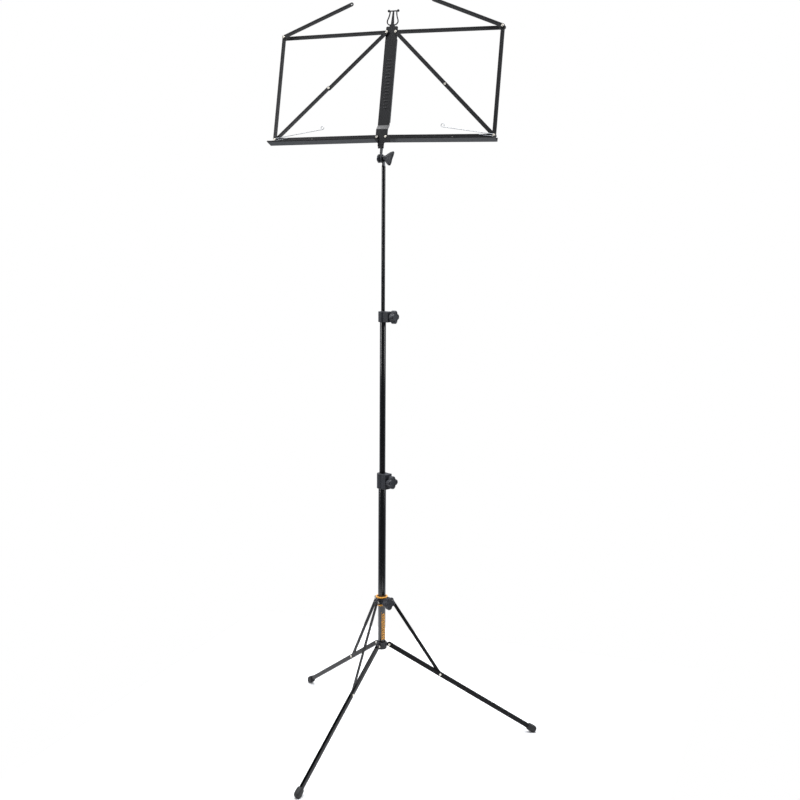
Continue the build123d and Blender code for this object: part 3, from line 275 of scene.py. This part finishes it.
def make_finishes(colours):
    """Every finish of the stand, by name."""
    return {
        # Polyester powder coat, sprayed and baked: even satin black with a fine orange-peel surface
        "powder_coat": finish("satin_powder_coat", linear(colours.powder_coat), 0.42, grain=1.1,
                              depth=0.002),
        # The same powder on the rolled channel of the legs and struts: its colour halved as painted shade,
        # so they come out darker, and smoother, with a low specular level
        "leg_coat": finish("shaded_leg_powder_coat", shade(linear(colours.powder_coat), 0.5), 0.3, grain=1.1,
                           depth=0.002, spread=0.2, level=0.15),
        # Baked enamel on drawn steel tube: deeper gloss, with faint lines along the tube from drawing
        "enamel": finish("gloss_baked_enamel", linear(colours.enamel), 0.22, grain=0.7, depth=0.0003,
                         stretch=(1, 1, 0.03), blotch=60, spread=0.08, coat=0.3),
        # Glass-filled nylon, injection moulded in a spark-eroded mould: matte charcoal with a fine grain
        "nylon": finish("moulded_black_nylon", linear(colours.nylon), 0.55, ior=1.53, grain=0.5, depth=0.003,
                        blotch=14, spread=0.1),
        # Acetal, injection moulded and pigmented amber: even colour and a low sheen
        "acetal": finish("moulded_amber_acetal", linear(colours.amber), 0.35, ior=1.48, grain=0.6,
                         depth=0.01, blotch=9, spread=0.06),
        # Nickel plate on upset steel rivets: bright, slightly warm metal with small scuffs
        "nickel": finish("nickel_plated_steel", linear(colours.nickel), 0.42, metallic=1.0, grain=0.35,
                         depth=0.002, blotch=2.5, spread=0.1),
        # Zinc plate on machine screws: greyer and softer than nickel
        "zinc": finish("zinc_plated_steel", linear(colours.zinc), 0.34, metallic=1.0, grain=0.4, depth=0.01,
                       blotch=3, spread=0.1),
        # Natural rubber with carbon black, compression moulded: nearly no shine, dusty patches
        "rubber": finish("moulded_black_rubber", linear(colours.rubber), 0.72, ior=1.52, grain=0.9,
                         depth=0.05, blotch=6, spread=0.22),
        # Hard-drawn spring wire, plated: grey metal with lines along the wire
        "wire": finish("drawn_spring_wire", linear(colours.wire), 0.3, metallic=1.0, grain=0.3, depth=0.006,
                       blotch=4, spread=0.12),
        # Screen-printing ink, baked on the tube: flat amber film that is thinner in places
        "ink": finish("printed_amber_ink", linear(colours.amber), 0.45, grain=0.4, depth=0.01, blotch=5,
                      spread=0.16),
    }


def has_finish(piece, name):
    """Gives every material slot of a piece one finish."""
    material = FINISHES[name]
    if not piece.data.materials:
        piece.data.materials.append(material)
    for slot in piece.material_slots:
        slot.material = material


def finish_of(node):
    """The finish that a CAD node takes, from its name."""
    for ending, name in (
        ("blade_rivets", "powder_coat"), ("rivets", "nickel"), ("rivet", "nickel"), ("pins", "nickel"),
        ("page_wire", "wire"),
        ("screw", "zinc"), ("tilt_bolt", "zinc"), ("collar_rings", "acetal"), ("knob", "nylon"),
        ("clamp", "nylon"), ("leg_hub", "nylon"), ("slide_collar", "nylon"), ("washers", "nylon"),
        ("bush", "nylon"), ("tube", "enamel"), ("rod", "enamel"),
    ):
        if node.endswith(ending):
            return name
    if "rivet" in node:
        return "nickel"
    if "foot" in node:
        return "rubber"
    if node.startswith(("leg_", "strut_")):
        # legs and struts take the powder coat with its colour darkened as painted shade
        return "leg_coat"
    return "powder_coat"


FINISHES = {}


# ---------------------------------------------------------------- sizes and colours that a user may change
class StandColours(bpy.types.PropertyGroup):
    """Colours of the finishes, as sRGB hex values."""

    powder_coat: bpy.props.StringProperty(
        name="Powder coat", description="Bars, legs and spine", default="#0b0c10")
    enamel: bpy.props.StringProperty(name="Enamel", description="Tubes and rod", default="#07080b")
    nylon: bpy.props.StringProperty(name="Nylon", description="Knobs, clamps and hub", default="#1a1d25")
    amber: bpy.props.StringProperty(
        name="Amber", description="Collar rings and printed mark", default="#e8a233")
    nickel: bpy.props.StringProperty(name="Nickel", description="Rivets", default="#d9d4ca")
    zinc: bpy.props.StringProperty(name="Zinc", description="Screws and bolt", default="#b4b7bb")
    rubber: bpy.props.StringProperty(name="Rubber", description="Foot caps", default="#121214")
    wire: bpy.props.StringProperty(name="Wire", description="Page wires", default="#a2a6ab")
    floor: bpy.props.StringProperty(name="Floor", description="Studio floor", default="#f7f7f7")


class StandSizes(bpy.types.PropertyGroup):
    """Sizes of the moulded pieces, the printed mark and the embossing."""

    lobe_circle: bpy.props.FloatProperty(
        name="Lobe circle", description="Centres of a knob's lobes from its axis", default=7.6 * MM,
        unit="LENGTH")
    lobe_radius: bpy.props.FloatProperty(
        name="Lobe radius", description="Radius of each lobe of a knob", default=6.0 * MM, unit="LENGTH")
    knob_core: bpy.props.FloatProperty(
        name="Knob core", description="Radius between the lobes of a knob", default=9.4 * MM, unit="LENGTH")
    knob_neck: bpy.props.FloatProperty(
        name="Knob neck", description="Radius of the neck under the grip", default=6.2 * MM, unit="LENGTH")
    foot_length: bpy.props.FloatProperty(
        name="Foot length", description="Foot cap along the leg", default=20.0 * MM, unit="LENGTH")
    foot_depth: bpy.props.FloatProperty(
        name="Foot depth", description="Foot cap across the leg, in the leg's upright plane",
        default=15.2 * MM, unit="LENGTH")
    foot_width: bpy.props.FloatProperty(
        name="Foot width", description="Foot cap from side to side", default=13.0 * MM, unit="LENGTH")
    mark_length: bpy.props.FloatProperty(
        name="Mark length", description="Printed mark along the base tube", default=61.0 * MM, unit="LENGTH")
    mark_width: bpy.props.FloatProperty(
        name="Mark width", description="Printed mark round the base tube", default=9.0 * MM, unit="LENGTH")
    mark_azimuth: bpy.props.FloatProperty(
        name="Mark azimuth", description="Direction that the printed mark faces",
        default=math.radians(-40.5), subtype="ANGLE")
    rib_count: bpy.props.IntProperty(
        name="Embossed ribs", description="Raised cross ribs on the spine plate", default=15, min=1)
    rib_pitch: bpy.props.FloatProperty(
        name="Rib pitch", description="Distance from one raised rib to the next", default=7.0 * MM,
        unit="LENGTH")
    rib_height: bpy.props.FloatProperty(
        name="Rib height", description="How far the ribs stand proud of the plate", default=0.5 * MM,
        unit="LENGTH")


class StudioSettings(bpy.types.PropertyGroup):
    """Camera and lights."""

    camera_place: bpy.props.FloatVectorProperty(
        name="Camera", description="Where the camera stands", default=(0.8609, -2.2253, 1.0900),
        subtype="TRANSLATION", unit="LENGTH")
    lens: bpy.props.FloatProperty(name="Lens", description="Focal length in mm", default=52.65)
    heading: bpy.props.FloatProperty(
        name="Heading", description="Camera turned from +Y towards -X", default=math.radians(20.29),
        subtype="ANGLE")
    pitch: bpy.props.FloatProperty(
        name="Pitch", description="Camera tipped down", default=math.radians(8.66), subtype="ANGLE")
    roll: bpy.props.FloatProperty(
        name="Roll", description="Camera rolled", default=math.radians(-0.37), subtype="ANGLE")
    top: bpy.props.FloatProperty(
        name="Top light", description="Power of the overhead softbox", default=140.0)
    key: bpy.props.FloatProperty(name="Key light", description="Power of the left softbox", default=30.0)
    fill: bpy.props.FloatProperty(name="Fill light", description="Power of the right softbox", default=18.0)
    sky: bpy.props.FloatProperty(
        name="Surround", description="Strength of the surround as a light", default=0.9)


class StandOperator(bpy.types.Operator):
    """Shared settings of the stand's operators."""

    bl_options = {"REGISTER", "UNDO"}

    def built(self, piece, body, finish_name, slot, *nodes):
        """Gives a piece its finish and body, and hides the CAD nodes that it stands for."""
        has_finish(piece, finish_name)
        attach(piece, body)
        if nodes:
            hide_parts(*nodes)


class STAND_OT_finishes(StandOperator):
    """Give every CAD node its finish"""

    bl_idname = "stand.finishes"
    bl_label = "Finishes"

    def execute(self, context):
        FINISHES.update(make_finishes(context.scene.stand_colours))
        for name, node in frame["nodes"].items():
            has_finish(node, finish_of(name))
        return {"FINISHED"}


class STAND_OT_tubes(StandOperator):
    """Build the base tube, the middle tube and the rod with its flattened end"""

    bl_idname = "stand.tubes"
    bl_label = "Tubes and rod"

    def execute(self, context):
        for node, body in (("base_tube", "base"), ("middle_tube", "middle")):
            low, high = corners(node)
            piece = pipe(f"drawn_{node}", low[2], high[2], (high[0] - low[0]) / 2)
            self.built(piece, body, "enamel", "gloss_black", node)

        low, high = corners("upper_rod")
        radius = (high[0] - low[0]) / 2
        half_tab = (high[1] - low[1]) / 2
        axis_height = joint_place("desk_tilt")[0][2]
        shoulder = axis_height - TAB_SHOULDER
        blend = np.linspace(0, 1, 9)
        ease = blend * blend * (3 - 2 * blend)
        cap = np.sin(np.linspace(0, np.pi / 2, 13))[1:-1]
        height = np.concatenate([
            [low[2], low[2] + RIM], shoulder - TAB_BLEND * (1 - blend), [axis_height],
            axis_height + half_tab * cap, [high[2]],
        ])
        thick = np.concatenate([
            [radius - RIM, radius], radius + (TAB_HALF_THICKNESS - radius) * ease,
            np.full(len(cap) + 2, TAB_HALF_THICKNESS),
        ])
        wide = np.concatenate([
            [radius - RIM, radius], radius + (half_tab - radius) * ease, [half_tab],
            half_tab * np.sqrt(1 - cap ** 2), [0.4 * MM],
        ])
        power = np.concatenate([[2, 2], 2 + 4 * ease, np.full(len(cap) + 2, 6)])
        x, y = superellipse(thick, wide, power, 96)
        rings = np.stack([x, y, np.broadcast_to(height[:, None], x.shape)], axis=-1)
        self.built(surface("flattened_rod", rings), "rod", "enamel", "gloss_black", "upper_rod")
        return {"FINISHED"}


class STAND_OT_knobs(StandOperator):
    """Build the three lobed clamp knobs"""

    bl_idname = "stand.knobs"
    bl_label = "Clamp knobs"

    def execute(self, context):
        for place in ("collar", "lower", "upper"):
            piece = self.lobed_knob(place, context.scene.stand_sizes)
            self.built(piece, f"{place}_knob", "nylon", "black_plastic", f"{place}_knob")
        return {"FINISHED"}

    def lobed_knob(self, place, sizes):
        """Four-lobed knob.

        The outline is a smooth union of a core circle and four lobe circles: the power mean, with a
        high power, of their distances from the axis. Each row of the profile gives the distance along
        the axis, how far the outline is drawn in, and how far it is lobed rather than round.
        """
        origin, axis = joint_place(f"{place}_knob_turn")
        back, front = span_along(f"{place}_knob", origin, axis)
        angle = np.linspace(0, 2 * np.pi, 144, endpoint=False)
        turn = (angle + np.pi / 4) % (np.pi / 2) - np.pi / 4
        circle, lobe, core = sizes.lobe_circle, sizes.lobe_radius, sizes.knob_core
        under = lobe ** 2 - (circle * np.sin(turn)) ** 2
        reach = np.where(under > 0, circle * np.cos(turn) + np.sqrt(np.maximum(under, 0)), 0.2 * core)
        outline = (reach ** 14 + core ** 14) ** (1 / 14)
        neck = sizes.knob_neck
        length = front - back
        rows = np.array([
            (0.0, neck - 0.3 * MM, 0), (0.3 * MM, neck, 0), (3.2 * MM, neck, 0),
            (3.7 * MM, neck + 0.4 * MM, 0),
            (4.0 * MM, 1.6 * MM, 1), (4.2 * MM, 0.7 * MM, 1), (4.7 * MM, 0.15 * MM, 1), (5.4 * MM, 0.0, 1),
            (length - 2.6 * MM, 0.0, 1), (length - 1.5 * MM, 0.12 * MM, 1),
            (length - 0.7 * MM, 0.55 * MM, 1),
            (length - 0.2 * MM, 1.2 * MM, 1), (length, 2.0 * MM, 1), (length, 2.7 * MM, 1),
            (length - 0.25 * MM, 3.1 * MM, 1), (length - 0.7 * MM, 3.5 * MM, 1),
            (length - 0.8 * MM, 4.6 * MM, 1),
            (length - 0.8 * MM, 3.0 * MM, 0), (length - 0.8 * MM, 1.0 * MM, 0),
        ])
        lobed = rows[:, 2:3]
        radius = np.where(lobed > 0, outline[None, :] - rows[:, 1:2], rows[:, 1:2])
        side = np.array([-axis[1], axis[0], 0.0])
        up = np.array([0.0, 0.0, 1.0])
        spokes = np.cos(angle)[:, None] * side + np.sin(angle)[:, None] * up
        rings = origin + (back + rows[:, 0])[:, None, None] * axis + radius[:, :, None] * spokes
        return surface(f"moulded_{place}_knob", rings, sharp=50)


class STAND_OT_wing_knob(StandOperator):
    """Build the wing knob of the tilt joint"""

    bl_idname = "stand.wing_knob"
    bl_label = "Wing knob"

    def execute(self, context):
        origin, axis = joint_place("wing_knob_turn")
        back, front = span_along("tilt_wing_knob", origin, axis)
        span = np.array([0.0, math.sin(WING_LEAN), math.cos(WING_LEAN)])
        across = np.cross(axis, span)
        # each row: share of the length, half span, half thickness, power of the section
        rows = np.array([
            (0.00, 5.9, 5.9, 2.0), (0.02, 6.3, 6.3, 2.0), (0.14, 6.3, 6.3, 2.0), (0.17, 6.6, 6.1, 2.0),
            (0.24, 8.4, 5.9, 2.0), (0.36, 11.0, 5.3, 2.2), (0.48, 13.0, 4.7, 2.5), (0.60, 14.5, 4.1, 2.8),
            (0.70, 15.5, 3.6, 3.0), (0.80, 16.1, 3.2, 3.2), (0.88, 16.2, 2.9, 3.2), (0.94, 15.9, 2.6, 3.2),
            (0.98, 14.9, 2.0, 3.0), (1.00, 12.8, 1.1, 2.8),
        ])
        x, y = superellipse(rows[:, 1] * MM, rows[:, 2] * MM, rows[:, 3], 96)
        along = back + (front - back) * rows[:, 0]
        near_front = np.clip((rows[:, 0] - 0.8) / 0.2, 0, 1)[:, None]
        dip = WING_DIP * near_front * np.exp(-(x / WING_DIP_WIDTH) ** 2)
        skew = WING_SKEW * x * np.clip((rows[:, 0] - 0.2) / 0.5, 0, 1)[:, None]
        rings = (
            origin + (along[:, None] - dip + skew)[:, :, None] * axis
            + x[:, :, None] * span + y[:, :, None] * across
        )
        piece = surface("moulded_wing_knob", rings, sharp=50)
        self.built(piece, "wing_knob", "nylon", "black_plastic", "tilt_wing_knob")
        return {"FINISHED"}


class STAND_OT_feet(StandOperator):
    """Build the three rubber foot caps"""

    bl_idname = "stand.feet"
    bl_label = "Foot caps"

    def execute(self, context):
        sizes = context.scene.stand_sizes
        # each row: share of the half length from the middle, share of the depth and width, section's power
        rows = np.array([
            (-1.00, 0.80, 4.5), (-0.99, 0.86, 4.5), (-0.94, 0.90, 4.5), (-0.78, 0.90, 4.5),
            (-0.72, 0.88, 4.5), (-0.66, 0.93, 4.0), (-0.45, 0.98, 4.0), (-0.10, 1.00, 3.8),
            (0.25, 1.00, 3.6), (0.55, 0.97, 3.3), (0.78, 0.88, 3.0), (0.91, 0.74, 2.8),
            (0.98, 0.54, 2.6), (1.00, 0.30, 2.4),
        ])
        for number in (1, 2, 3):
            pivot, hinge = joint_place(f"leg_{number}_fold")
            outward = unit(np.cross(hinge, (0, 0, -1)))
            if outward @ pivot < 0:
                outward = -outward
            run = math.cos(LEG_SLOPE) * outward - math.sin(LEG_SLOPE) * np.array([0.0, 0.0, 1.0])
            across = unit(np.cross(run, hinge))
            x, y = superellipse(
                rows[:, 1] * sizes.foot_depth / 2, rows[:, 1] * sizes.foot_width / 2, rows[:, 2], 72)
            along = LEG_LENGTH + rows[:, 0] * sizes.foot_length / 2
            rings = (
                pivot + along[:, None, None] * run + x[:, :, None] * across + y[:, :, None] * hinge
            )
            rings[:, :, 2] = np.maximum(rings[:, :, 2], 0.0)
            piece = surface(f"rubber_cap_{number}", rings, sharp=50)
            self.built(piece, f"leg_{number}", "rubber", "black_rubber", f"foot_{number}")
        return {"FINISHED"}


class STAND_OT_collar_rings(StandOperator):
    """Build the two amber rings of the slide collar"""

    bl_idname = "stand.collar_rings"
    bl_label = "Collar rings"

    def execute(self, context):
        low, high = corners("collar_rings")
        outer = (high[0] - low[0]) / 2
        # the section is a superellipse, swept round the mast
        x, y = superellipse([(outer - RING_BORE) / 2], [RING_HALF_HEIGHT], [3.2], 40)
        middle = (outer + RING_BORE) / 2
        pieces = []
        for height in (low[2] + RING_HALF_HEIGHT, high[2] - RING_HALF_HEIGHT):
            profile = np.stack([height + y[0], middle + x[0]], axis=-1)
            pieces.append(surface("ring", turned(profile, np.zeros(3), (0, 0, 1), 120), loop=True))
        rings = joined("moulded_collar_rings", pieces)
        self.built(rings, "collar", "acetal", "amber_plastic", "collar_rings")
        return {"FINISHED"}


class STAND_OT_mark(StandOperator):
    """Print a plain amber mark, a stack of chevrons between two lines, on the base tube"""

    bl_idname = "stand.mark"
    bl_label = "Printed mark"

    def execute(self, context):
        sizes = context.scene.stand_sizes
        low, high = corners("base_tube")
        radius = (high[0] - low[0]) / 2
        middle = low[2] + MARK_ABOVE_TUBE_END
        half_width = sizes.mark_width / 2
        half_length = sizes.mark_length / 2

        def film(name, low_edge, high_edge):
            """Film on the tube between two edges: each a row of points (round the tube, up it).

            Its section is closed: it rises from inside the tube, runs over it and sinks again.
            """
            share = np.array([0.0, 0.0, 0.5, 1.0, 1.0])[:, None, None]
            out = np.array([-MARK_SUNK, MARK_FILM, MARK_FILM, MARK_FILM, -MARK_SUNK])[:, None]
            flat = low_edge + share * (high_edge - low_edge)
            turn = sizes.mark_azimuth + flat[..., 0] / radius
            reach = radius + out
            rings = np.stack([reach * np.cos(turn), reach * np.sin(turn), middle + flat[..., 1]], axis=-1)
            return surface(name, rings.transpose(1, 0, 2))

        up = np.linspace(-half_length, half_length, 9)
        pieces = []
        for edge in (-half_width, half_width - MARK_LINE):
            rail = np.stack([np.full(up.shape, edge), up], axis=-1)
            pieces.append(film("rail", rail, rail + (MARK_LINE, 0)))
        half_chevron = half_width - 2 * MARK_LINE
        round_tube = np.linspace(-half_chevron, half_chevron, 9)
        pitch = (2 * half_length - half_chevron) / CHEVRONS
        for number in range(CHEVRONS):
            lift = -half_length + number * pitch + half_chevron - np.abs(round_tube)
            chevron = np.stack([round_tube, lift], axis=-1)
            pieces.append(film("chevron", chevron, chevron + (0, pitch * CHEVRON_SHARE)))
        self.built(joined("printed_mark", pieces), "base", "ink", "amber_plastic")
        return {"FINISHED"}


class STAND_OT_embossing(StandOperator):
    """Raise a row of plain cross ribs on the front of the spine plate"""

    bl_idname = "stand.embossing"
    bl_label = "Embossed ribs"

    def execute(self, context):
        sizes = context.scene.stand_sizes
        right, forward = joint_place("right_fold")
        left = joint_place("left_fold")[0]
        origin = (right + left) / 2
        up = unit(joint_place("right_upper_bar_pivot")[0] - right)
        side = np.cross(up, forward)
        desk_height = np.linalg.norm(joint_place("right_upper_bar_pivot")[0] - right)
        pieces = []
        # rows of a rib: share of its outline, share of its height above the plate
        rows = np.array([(1.0, -0.4), (1.0, 0.0), (0.93, 0.45), (0.84, 0.85), (0.74, 1.0), (0.3, 1.0)])
        for number in range(sizes.rib_count):
            middle = desk_height * RIB_ROW_CENTRE + (number - (sizes.rib_count - 1) / 2) * sizes.rib_pitch
            x, y = superellipse(
                rows[:, 0] * RIB_HALF_LENGTH, rows[:, 0] * RIB_HALF_WIDTH, np.full(len(rows), 5.0), 64)
            rings = (
                origin + (rows[:, 1] * sizes.rib_height)[:, None, None] * forward
                + x[:, :, None] * side + (middle + y)[:, :, None] * up
            )
            pieces.append(surface("rib", rings, sharp=70))
        self.built(joined("embossed_ribs", pieces), "spine", "powder_coat", "powder_black")
        return {"FINISHED"}


class STAND_OT_studio(StandOperator):
    """Set up the pale floor, the soft lights and the camera"""

    bl_idname = "stand.studio"
    bl_label = "Studio"

    def execute(self, context):
        settings = context.scene.stand_studio
        self.floor(context.scene.stand_colours)
        self.surround(context.scene, settings.sky)
        self.softbox("top_softbox", (0.0, 0.3, 3.2), (0, 0, 0), (3.0, 3.0), settings.top)
        self.softbox("key_softbox", (-1.8, -1.5, 1.6), (0, 0, 1.2), (0.8, 1.6), settings.key)
        self.softbox("fill_softbox", (2.4, -0.2, 1.6), (0, 0, 1.2), (0.7, 1.6), settings.fill)
        self.camera(context.scene, settings)
        context.scene.view_settings.view_transform = "Standard"
        return {"FINISHED"}

    def floor(self, colours):
        """Level floor: a square grid of points at height zero."""
        steps = np.linspace(-FLOOR_HALF, FLOOR_HALF, 19)
        x, y = np.meshgrid(steps, steps)
        points = np.stack([x, y, np.zeros_like(x)], axis=-1).reshape(-1, 3)
        index = np.arange(x.size).reshape(x.shape)
        faces = np.stack([index[:-1, :-1], index[:-1, 1:], index[1:, 1:], index[1:, :-1]], axis=-1)
        mesh = bpy.data.meshes.new("studio_floor")
        mesh.from_pydata(points.tolist(), [], faces.reshape(-1, 4).tolist())
        floor = bpy.data.objects.new("studio_floor", mesh)
        bpy.context.scene.collection.objects.link(floor)
        # Matt white paper: no gloss, barely uneven
        mesh.materials.append(finish("matt_paper", linear(colours.floor), 0.9, grain=2.0, depth=0.01,
                                     blotch=600, spread=0.01))

    def surround(self, scene, strength):
        """White surround: white where it is seen directly, and dimmer as a light."""
        world = bpy.data.worlds.new("white_surround")
        world.use_nodes = True
        tree = world.node_tree
        tree.nodes.clear()
        rays = add_node(tree, "ShaderNodeLightPath", {}).outputs["Is Camera Ray"]
        # as a light it is brightest behind the stand, as a white sweep is, and dim in front of it
        heading = scene.stand_studio.heading
        way = add_node(tree, "ShaderNodeTexCoord", {}).outputs["Generated"]
        ahead = add_node(
            tree, "ShaderNodeVectorMath", {0: way, 1: (-math.sin(heading), math.cos(heading), 0.3)},
            operation="DOT_PRODUCT").outputs["Value"]
        light = add_node(
            tree, "ShaderNodeMapRange",
            {"Value": ahead, "From Min": -0.6, "From Max": 0.9,
             "To Min": 0.16 * strength, "To Max": strength},
            interpolation_type="SMOOTHSTEP").outputs["Result"]
        shown = add_node(tree, "ShaderNodeMapRange", {"Value": rays, "To Min": light, "To Max": 1.0})
        tint = add_node(tree, "ShaderNodeValToRGB", {"Fac": rays})
        tint.color_ramp.elements[0].color = (0.88, 0.92, 1.0, 1.0)
        tint.color_ramp.elements[1].color = (1.0, 1.0, 1.0, 1.0)
        background = add_node(
            tree, "ShaderNodeBackground",
            {"Color": tint.outputs["Color"], "Strength": shown.outputs["Result"]})
        add_node(tree, "ShaderNodeOutputWorld", {"Surface": background.outputs["Background"]})
        scene.world = world

    def softbox(self, name, place, target, size, power):
        """Rectangular light that faces a target."""
        light = bpy.data.lights.new(name, "AREA")
        light.shape = "RECTANGLE"
        light.size, light.size_y = size
        light.energy = power
        lamp = bpy.data.objects.new(name, light)
        bpy.context.scene.collection.objects.link(lamp)
        back = unit(np.array(place) - np.array(target))
        side = unit(np.cross((0, 0, 1), back))
        up = np.cross(back, side)
        lamp.matrix_world = Matrix([
            [side[0], up[0], back[0], place[0]], [side[1], up[1], back[1], place[1]],
            [side[2], up[2], back[2], place[2]], [0, 0, 0, 1],
        ])

    def camera(self, scene, settings):
        """Camera that looks from its place along its heading, tipped down and rolled."""
        heading, pitch, roll = settings.heading, settings.pitch, settings.roll
        ahead = np.array([-math.sin(heading), math.cos(heading), 0.0])
        level = np.array([math.cos(heading), math.sin(heading), 0.0])
        upright = np.array([0.0, 0.0, 1.0])
        view = math.cos(pitch) * ahead - math.sin(pitch) * upright
        over = math.sin(pitch) * ahead + math.cos(pitch) * upright
        side = math.cos(roll) * level - math.sin(roll) * over
        up = math.sin(roll) * level + math.cos(roll) * over
        data = bpy.data.cameras.new("camera")
        data.lens = settings.lens
        data.sensor_width = 36.0
        camera = bpy.data.objects.new("camera", data)
        scene.collection.objects.link(camera)
        place = settings.camera_place
        camera.matrix_world = Matrix([
            [side[0], up[0], -view[0], place[0]], [side[1], up[1], -view[1], place[1]],
            [side[2], up[2], -view[2], place[2]], [0, 0, 0, 1],
        ])
        scene.camera = camera


class STAND_PT_panel(bpy.types.Panel):
    """Panel of the stand's operators and settings"""

    bl_idname = "STAND_PT_panel"
    bl_label = "Music stand"
    bl_space_type = "VIEW_3D"
    bl_region_type = "UI"
    bl_category = "Music stand"

    def draw(self, context):
        for operator in OPERATORS:
            self.layout.operator(operator.bl_idname)
        for group in (context.scene.stand_sizes, context.scene.stand_colours, context.scene.stand_studio):
            box = self.layout.box()
            for name in group.__annotations__:
                box.prop(group, name)


OPERATORS = (
    STAND_OT_finishes, STAND_OT_tubes, STAND_OT_knobs, STAND_OT_wing_knob, STAND_OT_feet,
    STAND_OT_collar_rings, STAND_OT_mark, STAND_OT_embossing, STAND_OT_studio,
)
GROUPS = {"stand_colours": StandColours, "stand_sizes": StandSizes, "stand_studio": StudioSettings}


def register():
    """Registers the classes and puts the settings on the scene."""
    for group in (*GROUPS.values(), *OPERATORS, STAND_PT_panel):
        bpy.utils.register_class(group)
    for name, group in GROUPS.items():
        setattr(bpy.types.Scene, name, bpy.props.PointerProperty(type=group))


def unregister():
    """Removes the settings and the classes."""
    for name in GROUPS:
        delattr(bpy.types.Scene, name)
    for group in reversed((*GROUPS.values(), *OPERATORS, STAND_PT_panel)):
        bpy.utils.unregister_class(group)


def main():
    """Builds the whole scene."""
    register()
    bpy.ops.stand.finishes()
    bpy.ops.stand.tubes()
    bpy.ops.stand.knobs()
    bpy.ops.stand.wing_knob()
    bpy.ops.stand.feet()
    bpy.ops.stand.collar_rings()
    bpy.ops.stand.mark()
    bpy.ops.stand.embossing()
    bpy.ops.stand.studio()


if __name__ == "__main__":
    main()
